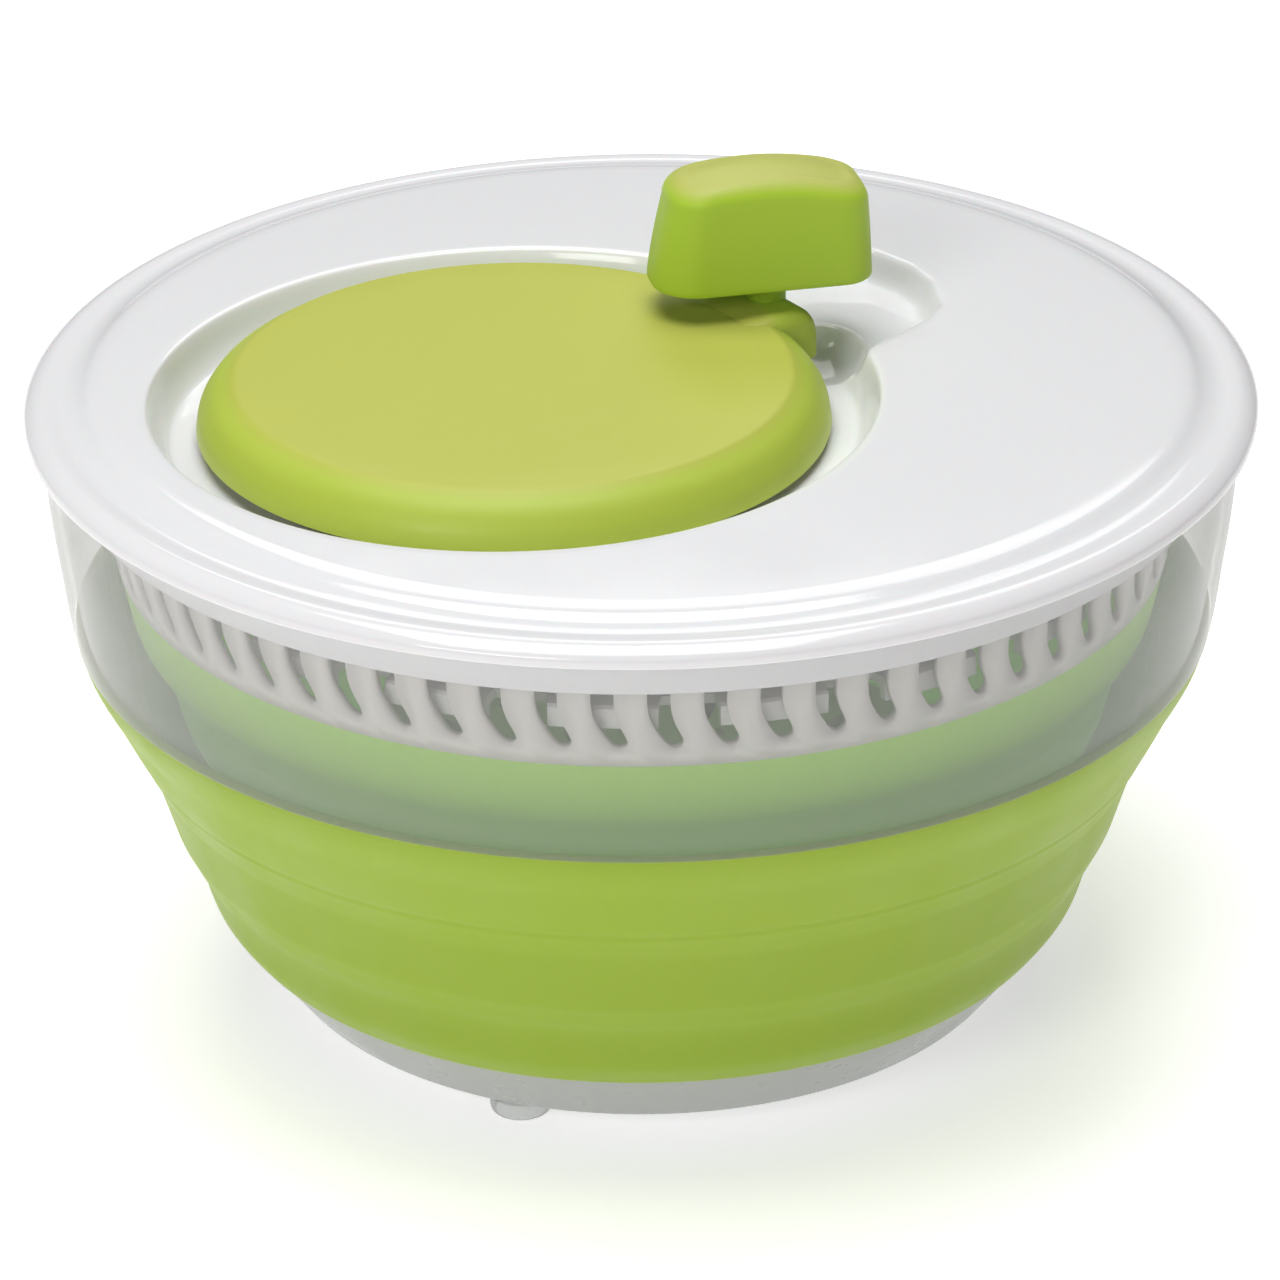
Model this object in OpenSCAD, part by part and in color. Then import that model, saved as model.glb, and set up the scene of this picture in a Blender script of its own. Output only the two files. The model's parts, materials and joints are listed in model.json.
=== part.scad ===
// Collapsible salad spinner: folding silicone bowl and basket, geared crank lid.
// Origin: centre of the footprint on the plane under the feet. +Z up, front is -Y.

/* [Overall] */
// Height of the lid's widest circle above the floor
rim_h = 136; // [110:1:170]
// Radius of the lid at its widest
lid_r = 130; // [100:1:160]

/* [Bowl] */
// Height of the feet below the base
foot_h = 3.8; // [2:0.2:8]
// Radius of one foot
foot_r = 6.6; // [4:0.2:10]
// Radius of the circle the feet stand on
foot_circle_r = 71.5; // [50:0.5:76]
// Number of feet
foot_count = 3; // [3:1:4]
// Direction of the first foot
foot_dir = 248; // [0:1:360]
// Height of the top edge of the hard base
base_top = 20.3; // [16:0.1:30]
// Radius of the hard base at its top edge
base_r = 91; // [80:0.5:100]
// Height where the flexible wall meets the hard rim ring
ring_z = 88; // [70:1:100]
// Outer radius of the rim ring at its bottom edge
ring_r = 121.6; // [110:0.2:126]
// Outer radius of the rim ring at its top edge
ring_top_r = 126.8; // [116:0.2:128]
// Wall thickness of the hard bowl parts
hard_t = 2.3; // [1.5:0.1:4]
// Wall thickness of the flexible wall
soft_t = 2.8; // [2:0.1:4]

/* [Basket] */
// Height of the basket floor
basket_z = 26.5; // [20:0.5:40]
// Outer radius of the basket floor
basket_floor_r = 83; // [60:0.5:90]
// Height where the basket's flexible wall meets its slotted band
band_z = 103; // [90:0.5:112]
// Outer radius of the slotted band at its bottom edge
band_r = 112; // [100:0.5:116]
// Outer radius of the slotted band at its top edge
band_top_r = 115.2; // [104:0.2:118]
// Height of the band's top edge
band_top = 130.6; // [120:0.2:132]
// Number of slots round the band
slot_count = 64; // [32:2:80]
// Width of one slot
slot_w = 4.6; // [3:0.1:6]
// Wall thickness of the basket
basket_t = 1.8; // [1.2:0.1:3]

/* [Lid] */
// Height of the deck above the widest circle
deck_h = 5.8; // [3:0.1:10]
// Depth of the round recess below the deck
recess_d = 9; // [6:0.2:12]
// Top radius of the round recess
recess_r = 76.8; // [70:0.1:84]
// Depth of the knob pocket below the deck
pocket_d = 6.6; // [4:0.2:9]
// Thickness of the lid
lid_t = 2.2; // [1.5:0.1:3.5]
// Outer radius of the skirt that drops inside the bowl
skirt_r = 122; // [116:0.2:124]
// Depth of the skirt below the widest circle
skirt_d = 10.8; // [8:0.2:16]

/* [Crank] */
// Radius of the crank disc
disc_r = 66.5; // [55:0.5:70]
// Height of the disc's side
disc_h = 9.4; // [7:0.2:14]
// Height of the disc's top above the widest circle
disc_top = 10.6; // [8:0.1:16]
// Direction of the crank's axle from the lid's centre
crank_dir = 206; // [0:1:360]
// Direction of the knob from the crank's axle
knob_dir = 34; // [0:1:360]
// Distance of the knob's post from the crank's axle
knob_arm = 64.6; // [50:0.2:66]

/* [Knob] */
// Length of the knob
knob_l = 49; // [36:0.5:60]
// Width of the knob
knob_w = 23; // [16:0.5:30]
// Height of the knob
knob_h = 26; // [18:0.5:34]
// Height of the knob's underside above the disc
neck_h = 7.4; // [4:0.2:10]
// Turn of the knob's long axis from +X
knob_yaw = 8.5; // [-90:0.5:90]
// Radius of the knob's post
post_r = 4.25; // [3:0.05:5]

/* [Gears] */
// Module of the gear teeth
gear_m = 1.64; // [1:0.01:2]
// Teeth of the ring gear inside the crank
ring_teeth = 48; // [40:1:60]
// Teeth of the pinion on the lid's centre
pinion_teeth = 12; // [10:1:16]
// Pressure angle of the teeth
press_a = 25; // [20:1:28]
// Play between the teeth
backlash = 0.36; // [0.2:0.02:0.6]

/* [Hidden] */
$fn = 96;
eps = 0.01;
fit = 0.05;
deck_z = rim_h + deck_h;
floor_z = deck_z - recess_d;
axle_d = gear_m*(ring_teeth - pinion_teeth)/2;
disc_z1 = rim_h + disc_top;
disc_z0 = disc_z1 - disc_h;
lip_h = 2.6;
hinge_z = disc_z0 + 4.9;
pin_r = 3;
spindle_r = 4;
plate_z = rim_h - 19.6;
tab_z = rim_h - 24.4;
tab_count = 20;
tab_turn = -4.3;
axle_r = 4;

// outer profile of the bowl's flexible wall, from the ring down to the base
wall_pts = [[121.3, 87.9], [120.2, 84], [118.6, 80.6], [117, 77.6], [110.9, 65.6],
  [110, 64.4], [109.4, 63], [107.4, 58.6], [106.6, 56.4], [103.2, 45.4], [102.3, 43],
  [99.9, 38.2], [99, 36.8], [96.9, 30.6], [95.9, 27.4], [94.2, 23.9], [91.6, base_top]];
// outer profile of the basket's flexible wall, from the band down to the floor
basket_pts = [[111.7, 102.9], [110.4, 97], [108.8, 91], [103.6, 82], [102.4, 79.6], [100.2, 70],
  [98.6, 66], [93.4, 57], [92.2, 54.6], [90.2, 45], [88.8, 41], [84.6, 33.5], [83.4, 31]];

// a list of points moved inwards by a wall thickness
function inward(p, t) = [for (q = p) [q[0] - t, q[1]]];
// the same list from its last point to its first
function flip(p) = [for (i = [len(p) - 1:-1:0]) p[i]];
// involute of a circle of radius b at roll angle a
function inv_pt(b, a) = [b*(cos(a) + a*PI/180*sin(a)), b*(sin(a) - a*PI/180*cos(a))];
function roll(b, r) = r > b ? sqrt((r/b)*(r/b) - 1)*180/PI : 0;
function turn(p, a) = [p[0]*cos(a) - p[1]*sin(a), p[0]*sin(a) + p[1]*cos(a)];
function ang(p) = atan2(p[1], p[0]);

// one tooth outline from root to tip and back, centred on angle 0
function tooth(n, ra, rf, th) =
  let (rp = gear_m*n/2, b = rp*cos(press_a), r0 = max(b, rf))
  let (shift = th/rp*90/PI + ang(inv_pt(b, roll(b, rp))))
  let (steps = 4)
  let (side = [for (i = [0:steps]) turn(inv_pt(b, roll(b, r0 + (ra - r0)*i/steps)), -shift)])
  let (a = 0.35 - ang(side[0]))
  concat([[rf*cos(a), -rf*sin(a)]], side, [for (i = [steps:-1:0]) [side[i][0], -side[i][1]]],
    [[rf*cos(a), rf*sin(a)]]);
module gear_2d(n, ra, rf, th) {
  polygon([for (k = [0:n - 1]) for (p = tooth(n, ra, rf, th)) turn(p, k*360/n)]);
}

// moves its children to the crank's axle, or to the knob's post
module at_crank() rotate(crank_dir) translate([axle_d, 0, 0]) rotate(-crank_dir) children();
module at_knob() at_crank() rotate(knob_dir) translate([knob_arm, 0, 0]) children();

// ring of rectangular section
module ring(r1, r0, z0, z1) {
  rotate_extrude($fn = 128) polygon([[r0, z0], [r1, z0], [r1, z1], [r0, z1]]);
}

module base_shell() color([0.82, 0.85, 0.83]) {
  difference() {
    union() {
      rotate_extrude($fn = 128)
        polygon([[0, foot_h], [76, foot_h], [78.9, foot_h + 0.9], [80.6, foot_h + 2.6],
          [base_r, base_top], [base_r - 2.6, base_top], [base_r - 2.6, base_top + 3.6],
          [base_r - 4.4, base_top + 3.6], [base_r - 4.4, base_top - 1.2], [79.2, foot_h + 4],
          [76.6, foot_h + hard_t + 0.4], [74.5, foot_h + hard_t], [0, foot_h + hard_t]]);
      ring(8, pin_r, foot_h + eps, 14);
      for (a = [0:60:300])
        rotate(a) translate([7, -0.8, foot_h + 1]) cube([22, 1.6, 5]);
    }
    translate([0, 0, foot_h + 1.2]) cylinder(r = pin_r, h = 20);
    for (k = [0:foot_count - 1])
      rotate(foot_dir + k*360/foot_count) translate([foot_circle_r, 0, 0])
        cylinder(r = 2.5, h = 20);
  }
}

// soft foot with a peg through the base
module foot(k) color([0.8, 0.83, 0.8]) {
  rotate(foot_dir + k*360/foot_count) translate([foot_circle_r, 0, 0]) {
    rotate_extrude($fn = 64)
      polygon([[0, 0], [foot_r - 1, 0], [foot_r - 0.2, 0.8], [foot_r, foot_h], [2.5, foot_h],
        [2.5, foot_h + hard_t], [3.4, foot_h + hard_t], [2.6, foot_h + hard_t + 1.6],
        [0, foot_h + hard_t + 1.6]]);
  }
}

module pivot_pin() color([0.7, 0.71, 0.72]) {
  rotate_extrude()
    polygon([[0, foot_h + 1.2], [pin_r, foot_h + 1.2], [pin_r, basket_z - 1.5],
      [pin_r - 0.8, basket_z - 0.7], [0, basket_z - 0.7]]);
}

module bowl_wall() color([0.66, 0.78, 0.3]) {
  rotate_extrude($fn = 128)
    polygon(concat(wall_pts, [[base_r - 2.6, base_top], [base_r - 2.6, base_top + 3.6]],
      [[91.6, base_top + 3.6]], flip(inward([for (i = [0:14]) wall_pts[i]], soft_t))));
}

module rim_ring() color([0.86, 0.86, 0.85]) {
  o = [[ring_r, ring_z], [ring_r + 2.1, ring_z + 14], [ring_r + 3.6, ring_z + 26],
    [ring_r + 4.4, ring_z + 35], [ring_top_r, rim_h - 1.5]];
  rotate_extrude($fn = 128)
    polygon(concat(o, [[ring_top_r - hard_t, rim_h - 1.5]],
      flip(inward([for (i = [0:3]) o[i]], hard_t))));
}

// outline of the knob pocket, pointing away from the crank's axle, grown by g
module pocket_2d(g) {
  offset(r = 6 + g) offset(delta = -6)
    polygon([[40, -26], [70, -26], [76, -24.5], [100, -18.5], [106, -13], [106, 13],
      [100, 18.5], [76, 24.5], [70, 26], [40, 26]]);
}

module lid_shell() color([0.93, 0.93, 0.93]) {
  z = rim_h;
  difference() {
    union() {
      // lip, bead and domed deck
      rotate_extrude($fn = 128)
        polygon([[0, deck_z + 1], [50, deck_z + 0.8], [90, deck_z + 0.2], [108, deck_z - 0.5],
          [117.5, z + 4.7], [120.8, z + 3.6], [123, z + 3.1], [125.6, z + 3], [127.6, z + 2.6],
          [129.2, z + 1.7], [lid_r - 0.3, z + 0.9], [lid_r, z], [lid_r - 0.2, z - 0.8],
          [lid_r - 0.7, z - 1.3], [skirt_r, z - 1.3], [skirt_r - 0.4, z - skirt_d],
          [skirt_r - 2, z - skirt_d], [skirt_r - 2.2, z + 1.2], [117, z + 2.4],
          [108, deck_z - 0.5 - lid_t], [90, deck_z + 0.2 - lid_t], [0, deck_z + 1 - lid_t]]);
      // tub of the recess, pocket and scoop
      at_crank() {
        translate([0, 0, floor_z - lid_t]) cylinder(r = recess_r + 1.6, h = recess_d, $fn = 128);
        intersection() {
          rotate(knob_dir) translate([0, 0, deck_z - pocket_d - lid_t])
            linear_extrude(height = pocket_d) pocket_2d(2.2);
          cylinder(r = 116, h = 200);
        }
        rotate(knob_dir - 8) translate([70, 0, floor_z - 4.4]) cylinder(r = 12, h = 5);
        translate([0, 0, floor_z - lid_t]) cylinder(r = axle_r + 3, h = lid_t + 6.5);
      }
      translate([0, 0, floor_z - 8]) cylinder(r = 9, h = 8);
    }
    at_crank() {
      difference() {
        rotate_extrude($fn = 128)
          polygon([[0, floor_z], [recess_r - 5.6, floor_z], [recess_r - 4, floor_z + 0.6],
            [recess_r - 2.9, floor_z + 2], [recess_r - 1.2, deck_z - 1.8],
            [recess_r + 0.6, deck_z - 0.3], [recess_r + 1.5, deck_z + 3], [0, deck_z + 3]]);
        cylinder(r = axle_r + 3, h = floor_z + 6.5);
      }
      rotate(knob_dir) translate([0, 0, deck_z - pocket_d])
        linear_extrude(height = 20) pocket_2d(-1);
      rotate(knob_dir - 8) translate([70, 0, floor_z + 9.5]) sphere(r = 12.5);
      cylinder(r = axle_r + fit, h = 300);
    }
    cylinder(r = spindle_r + 2, h = 300);
  }
}

module spindle_bush() color([0.85, 0.85, 0.83]) {
  difference() {
    ring(spindle_r + 2, spindle_r + fit, floor_z - 8, floor_z + 0.6);
    translate([0, 0, floor_z - 9]) cylinder(r = spindle_r + fit, h = 20);
  }
}

module crank_disc() color([0.77, 0.81, 0.42]) {
  s = hinge_z;
  at_crank() difference() {
    union() {
      rotate_extrude($fn = 128)
        polygon([[0, disc_z1], [56, disc_z1 - 0.1], [61, disc_z1 - 0.4], [63.4, disc_z1 - 1.3],
          [65.2, disc_z1 - 2.9], [66.2, disc_z1 - 5], [disc_r, disc_z1 - 7], [disc_r, disc_z0],
          [disc_r - 2.2, disc_z0], [disc_r - 2.4, disc_z1 - 5.4], [disc_r - 6, disc_z1 - 2.4],
          [0, disc_z1 - 2.4]]);
      // lug for the knob's post
      rotate(knob_dir) intersection() {
        translate([0, 0, disc_z0]) linear_extrude(height = disc_h)
          offset(r = 3) offset(delta = -3) translate([50, -11]) square([19.2, 22]);
        translate([69.2 - 22, 0, disc_z1 - 22]) rotate([90, 0, 0])
          cylinder(r = 22, h = 40, center = true);
      }
      translate([0, 0, floor_z - lid_t + 0.2]) cylinder(r = axle_r, h = disc_z1 - 1 - floor_z);
      translate([0, 0, floor_z + 6.7]) cylinder(r = 9, h = disc_z1 - 1 - floor_z - 6.7);
    }
    rotate(knob_dir) {
      translate([knob_arm - 5.2, -5, disc_z0 - 1]) cube([20, 10, disc_h + 2]);
      translate([knob_arm, 0, s]) rotate([90, 0, 0]) cylinder(r = 1.5, h = 18, center = true);
    }
    cylinder(r = 1.6, h = floor_z + 8);
  }
}

module ring_gear() color([0.9, 0.9, 0.88]) {
  rp = gear_m*ring_teeth/2;
  at_crank() difference() {
    translate([0, 0, disc_z0 - 1]) cylinder(r = rp + 5, h = disc_h - 1.4, $fn = 128);
    translate([0, 0, disc_z0 - 2]) rotate(crank_dir + 180) linear_extrude(height = disc_h)
      gear_2d(ring_teeth, rp + 1.25*gear_m, rp - 0.8*gear_m, gear_m*PI/2 + backlash/2);
  }
}

module pinion() color([0.9, 0.9, 0.88]) {
  rp = gear_m*pinion_teeth/2;
  difference() {
    union() {
      translate([0, 0, disc_z0 - 2.4]) rotate(crank_dir + 180) linear_extrude(height = disc_h - 2.2)
        gear_2d(pinion_teeth, rp + 0.88*gear_m, rp - 1.25*gear_m, gear_m*PI/2 - backlash/2);
      translate([0, 0, floor_z + 0.8]) cylinder(r = 5.6, h = 2);
    }
    translate([0, 0, floor_z]) cylinder(r = 3, h = 30, $fn = 6);
  }
}

module axle_washer() color([0.75, 0.76, 0.78])
  at_crank() ring(8, 1.5, floor_z - lid_t - 0.8, floor_z - lid_t - 0.1);

module axle_screw() color([0.75, 0.76, 0.78]) {
  at_crank() difference() {
    union() {
      translate([0, 0, floor_z - lid_t - 3]) cylinder(r = 3.2, h = 2.2);
      translate([0, 0, floor_z - lid_t - 1]) cylinder(r = 1.5, h = 10);
    }
    for (a = [0, 90])
      rotate(a) translate([-2, -0.4, floor_z - lid_t - 4]) cube([4, 0.8, 2.2]);
  }
}

module hinge_pin() color([0.75, 0.76, 0.78]) {
  at_knob() translate([0, 0, hinge_z]) rotate([90, 0, 0])
    cylinder(r = 1.5, h = 17.6, center = true);
}

module knob_post() color([0.62, 0.74, 0.28]) {
  z1 = disc_z1 + neck_h;
  at_knob() difference() {
    union() {
      translate([0, 0, hinge_z]) rotate([90, 0, 0]) cylinder(r = 4.5, h = 9.6, center = true);
      translate([0, 0, hinge_z]) cylinder(r = post_r, h = z1 + 17 - hinge_z);
    }
    translate([0, 0, hinge_z]) rotate([90, 0, 0]) cylinder(r = 1.5, h = 20, center = true);
  }
}

// plan of the knob: broad round end at the left, tighter corners at the right
module knob_2d() {
  hull() {
    for (s = [-1, 1]) {
      translate([-knob_l/2 - 1 + 9.5, s*(knob_w/2 - 9.5)]) circle(r = 9.5, $fn = 32);
      translate([knob_l/2 - 1 - 4.5, s*(knob_w/2 - 4.5)]) circle(r = 4.5, $fn = 24);
    }
  }
}

module knob() color([0.62, 0.74, 0.28]) {
  z1 = disc_z1 + neck_h;
  l = knob_l/2;
  w = knob_w/2;
  h = knob_h;
  at_knob() rotate(knob_yaw - knob_dir) translate([0, 0, z1]) difference() {
    intersection() {
      translate([0, 0, -1]) linear_extrude(height = h + 2) knob_2d();
      // length against height
      rotate([90, 0, 0]) translate([-1, 0, -w - 1]) linear_extrude(height = 2*w + 2)
        polygon([[1.1 - l, 0], [-l, 1.3], [-l, 6], [1.9 - l, h - 7], [4.4 - l, h - 3.4],
          [9 - l, h - 1.4], [-6, h], [6, h], [l - 8, h - 1.4], [l - 3.6, h - 3.6],
          [l - 1.5, h - 7.4], [l, 6], [l, 1.3], [l - 1.1, 0]]);
      // width against height
      rotate([90, 0, 90]) translate([0, 0, -l - 3]) linear_extrude(height = 2*l + 4)
        polygon([[1.1 - w, 0], [-w, 1.3], [-w, 6], [1.5 - w, h - 7], [3.1 - w, h - 3.6],
          [5.8 - w, h - 1.4], [-2, h], [2, h], [w - 5.8, h - 1.4], [w - 3.1, h - 3.6],
          [w - 1.5, h - 7], [w, 6], [w, 1.3], [w - 1.1, 0]]);
    }
    translate([0, 0, -1]) cylinder(r = post_r + fit, h = 18.4);
  }
}

module spindle() color([0.9, 0.9, 0.88]) {
  translate([0, 0, plate_z - 1]) difference() {
    union() {
      cylinder(r = spindle_r, h = floor_z + 0.8 - plate_z + 1);
      translate([0, 0, floor_z - plate_z + 1]) cylinder(r = 3, h = 9, $fn = 6);
    }
    translate([0, 0, -1]) cylinder(r = 1.3, h = 8);
  }
}

// cover that drives the basket: a ribbed plate with tabs round its edge
module drive_plate() color([0.9, 0.9, 0.88]) {
  difference() {
    union() {
      rotate_extrude($fn = 128)
        polygon([[spindle_r, plate_z - 4], [9, plate_z - 4], [9, plate_z - 2], [105, plate_z - 2],
          [105, plate_z], [9, plate_z], [9, floor_z - 8.4], [spindle_r, floor_z - 8.4]]);
      for (k = [0:tab_count - 1])
        rotate(k*360/tab_count + tab_turn) intersection() {
          rotate_extrude($fn = 128)
            polygon([[104, plate_z - 2], [107.8, plate_z - 2], [107.8, tab_z], [109.6, tab_z],
              [109.6, plate_z - 0.6], [109, plate_z], [104, plate_z]]);
          translate([100, -11, 0]) cube([20, 22, 200]);
        }
      for (a = [0:45:315])
        rotate(a) translate([8.5, -0.8, plate_z - 0.2]) cube([84, 1.6, 2.2]);
    }
    for (a = [22.5:45:360])
      for (r = [44, 76])
        rotate(a) translate([r, 0, 0]) cylinder(r = 9, h = 300, $fn = 48);
  }
}

module plate_washer() color([0.75, 0.76, 0.78])
  ring(6.5, 1.3, plate_z - 4.8, plate_z - 4);

module plate_screw() color([0.75, 0.76, 0.78]) {
  difference() {
    union() {
      translate([0, 0, plate_z - 7]) cylinder(r = 3.2, h = 2.2);
      translate([0, 0, plate_z - 5]) cylinder(r = 1.3, h = 9);
    }
    for (a = [0, 90])
      rotate(a) translate([-2, -0.4, plate_z - 8]) cube([4, 0.8, 2.2]);
  }
}

module pivot_cup() color([0.9, 0.9, 0.88]) {
  difference() {
    translate([0, 0, 15]) cylinder(r = 5.5, h = basket_z + 1 - 15);
    translate([0, 0, 14]) cylinder(r = pin_r + fit, h = basket_z - 0.6 - 14);
  }
}

module basket_floor() color([0.9, 0.89, 0.87]) {
  z = basket_z;
  difference() {
    union() {
      rotate_extrude($fn = 128)
        polygon([[0, z], [80, z], [basket_floor_r - 0.6, z + 1.4], [basket_floor_r, z + 4.5],
          [basket_floor_r - 1.6, z + 4.5], [basket_floor_r - 1.6, z + 8],
          [basket_floor_r - 3, z + 8], [basket_floor_r - 3.2, z + 3], [78, z + 2.2],
          [0, z + 2.2]]);
      ring(8, 5.5, 16, z + 0.5);
    }
    translate([0, 0, 14]) cylinder(r = 5.5, h = z + 1 - 14);
    // drain slots in three rows
    for (row = [0:2])
      for (k = [0:11 + 8*row])
        rotate(k*360/(12 + 8*row)) {
          translate([22 + 19*row, -1.8, z - 1]) cube([12, 3.6, 5]);
          for (d = [0, 12])
            translate([22 + 19*row + d, 0, z - 1]) cylinder(r = 1.8, h = 5);
        }
  }
}

module basket_wall() color([0.56, 0.68, 0.3]) {
  n = len(basket_pts);
  rotate_extrude($fn = 128)
    polygon(concat(basket_pts, [[basket_floor_r - 1.6, basket_z + 4.5]],
      [[basket_floor_r - 1.6, basket_z + 8]],
      flip(inward([for (i = [0:n - 3]) basket_pts[i]], 2.2))));
}

// one slanted slot: straight at the top, leaning over to a round end below
module slot_2d() {
  w = slot_w;
  polygon([[-w/2, 26], [w/2, 26], [w/2 + 0.3, 16], [w/2 + 1.2, 11], [w/2 + 3.4, 5.6],
    [4.1 - w/2, 5.6], [0.9 - w/2, 10], [-0.2 - w/2, 15]]);
  translate([4.9, 6.6]) circle(r = 1.35 + w/10, $fn = 24);
}

module basket_band() color([0.9, 0.89, 0.87]) {
  h = band_top - band_z;
  dr = band_top_r - band_r;
  difference() {
    rotate_extrude($fn = 128)
      polygon([[band_r, band_z], [band_r + dr*0.7, band_z + h/2], [band_top_r, band_top - 1],
        [band_top_r - 0.4, band_top], [band_top_r - basket_t, band_top],
        [band_r + dr*0.7 - basket_t, band_z + h/2], [band_r - basket_t, band_z]]);
    for (k = [0:slot_count - 1])
      rotate(k*360/slot_count - 90) translate([102, 0, band_z - 0.4]) rotate([90, 0, 90])
        linear_extrude(height = 16) slot_2d();
  }
}

base_shell();
foot(0);  // foot_front
foot(1);  // foot_right
foot(2);  // foot_back
pivot_pin();
bowl_wall();
rim_ring();
lid_shell();
spindle_bush();
crank_disc();
ring_gear();
axle_washer();
axle_screw();
hinge_pin();
knob_post();
knob();
pinion();
spindle();
drive_plate();
plate_screw();
plate_washer();
pivot_cup();
basket_floor();
basket_wall();
basket_band();
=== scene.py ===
import bpy, bmesh, json, math
import numpy as np
from mathutils import Matrix, Vector
from mathutils.geometry import delaunay_2d_cdt


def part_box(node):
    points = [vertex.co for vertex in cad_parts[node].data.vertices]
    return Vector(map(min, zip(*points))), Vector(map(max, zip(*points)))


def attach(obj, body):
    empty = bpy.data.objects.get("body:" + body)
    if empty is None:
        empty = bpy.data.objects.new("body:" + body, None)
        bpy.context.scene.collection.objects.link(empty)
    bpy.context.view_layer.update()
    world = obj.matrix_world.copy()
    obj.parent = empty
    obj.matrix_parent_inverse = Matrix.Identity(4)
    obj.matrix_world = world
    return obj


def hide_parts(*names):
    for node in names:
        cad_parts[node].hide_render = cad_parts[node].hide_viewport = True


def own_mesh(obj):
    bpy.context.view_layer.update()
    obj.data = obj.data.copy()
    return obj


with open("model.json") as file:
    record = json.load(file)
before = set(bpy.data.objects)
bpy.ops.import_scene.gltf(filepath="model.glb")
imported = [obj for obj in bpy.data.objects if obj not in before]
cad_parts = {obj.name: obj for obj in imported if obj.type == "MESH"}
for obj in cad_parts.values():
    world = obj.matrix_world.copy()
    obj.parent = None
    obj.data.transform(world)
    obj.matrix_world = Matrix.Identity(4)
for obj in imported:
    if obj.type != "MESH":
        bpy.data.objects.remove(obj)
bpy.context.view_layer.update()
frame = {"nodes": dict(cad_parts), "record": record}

# ---------------------------------------------------------------- the frame's own measures, in mm
joints = {j["name"]: j for j in frame["record"]["behaviour"]["joints"]}
AX = Vector([1000*v for v in joints["crank_spin"]["pos_m"]])          # crank axle
PO = Vector([1000*v for v in joints["knob_spin"]["pos_m"]])           # knob post


def box(node):
    """Lowest and highest corner of a CAD node."""
    return [1000*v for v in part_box(node)]


LID1 = box("lid_shell")[1]
LR = LID1.x                                                          # lid radius
DT = box("crank_disc")[1].z                                          # disc top
CROWN = 1.0                                                          # rise of the deck at the lid's centre
DECK = LID1.z - CROWN                                                # deck at the recess
RIM = DECK - 5.8                                                     # widest circle of the lid
RING0, RING1 = box("rim_ring")
BAND0, BAND1 = box("basket_band")
ZK = box("knob")[0].z                                                # underside of the CAD knob
BASE0 = box("base_shell")[0]
KDIR = math.atan2(PO.y - AX.y, PO.x - AX.x)                          # knob direction from the axle
KYAW = math.radians(12)                                              # knob's own turn
KDROP, KSHIFT = 1.3, 1.8                                             # knob's place below and beside CAD's
REC_R, REC_D = 76.8, 9.0                                             # recess radius and depth
FLOOR = DECK - REC_D                                                 # floor of the recess
LID_T, RING_T, WALL_T, BASKET_T = 2.2, 2.3, 2.7, 2.2                 # wall thicknesses


# ---------------------------------------------------------------- mesh helpers (mm in, metres out)
def add(name, verts, faces, mat, body, gone=(), smooth=True, sharp=None):
    """Makes a piece that rides on a body and stands for the CAD nodes named in gone."""
    me = bpy.data.meshes.new(name)
    me.from_pydata([(v[0]/1000, v[1]/1000, v[2]/1000) for v in verts], [], faces)
    me.validate()
    me.update()
    ob = bpy.data.objects.new(name, me)
    bpy.context.scene.collection.objects.link(ob)
    me.materials.append(mat)
    if smooth:
        me.shade_smooth()
        if sharp:
            me.set_sharp_from_angle(angle=math.radians(sharp))
    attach(ob, body)
    if gone:
        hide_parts(*([gone] if isinstance(gone, str) else gone))
    return ob


def soften(pts, closed=True, steps=5):
    """Rounds the corners of a profile: each point is (r, z) or (r, z, radius)."""
    out, n = [], len(pts)
    for i, p in enumerate(pts):
        rad = p[2] if len(p) > 2 else 0
        if rad <= 0 or (not closed and i in (0, n - 1)):
            out.append((p[0], p[1]))
            continue
        q, a, b = Vector(p[:2]), Vector(pts[i - 1][:2]), Vector(pts[(i + 1) % n][:2])
        u, v = a - q, b - q
        lu, lv = u.length, v.length
        u.normalize()
        v.normalize()
        half = math.acos(max(-1, min(1, u.dot(v))))/2
        if half > math.pi/2 - 0.01:
            out.append((q.x, q.y))
            continue
        t = min(rad/math.tan(half), lu*0.48, lv*0.48)
        rad = t*math.tan(half)
        c = q + (u + v).normalized()*(rad/math.sin(half))
        s, e = q + u*t - c, q + v*t - c
        a0, a1 = math.atan2(s.y, s.x), math.atan2(e.y, e.x)
        d = (a1 - a0 + math.pi) % (2*math.pi) - math.pi
        for k in range(steps + 1):
            w = a0 + d*k/steps
            out.append((c.x + rad*math.cos(w), c.y + rad*math.sin(w)))
    return out


def revolve(name, prof, mat, body, gone=(), n=256, centre=(0, 0), sharp=None):
    """Turns a closed profile of (r, z) round a vertical axis. Points on the axis become one pole."""
    verts, faces, rows = [], [], []
    for r, z in prof:
        if r < 1e-6:
            rows.append([len(verts)])
            verts.append((centre[0], centre[1], z))
        else:
            rows.append(list(range(len(verts), len(verts) + n)))
            verts += [(centre[0] + r*math.cos(2*math.pi*k/n), centre[1] + r*math.sin(2*math.pi*k/n), z)
                      for k in range(n)]
    for i in range(len(rows)):
        a, b = rows[i], rows[(i + 1) % len(rows)]
        if len(a) == 1 and len(b) == 1:
            continue
        for k in range(n):
            m = (k + 1) % n
            if len(a) == 1:
                faces.append((a[0], b[m], b[k]))
            elif len(b) == 1:
                faces.append((a[k], a[m], b[0]))
            else:
                faces.append((a[k], a[m], b[m], b[k]))
    ob = add(name, verts, faces, mat, body, gone, sharp=sharp)
    tidy(ob)
    return ob


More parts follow.
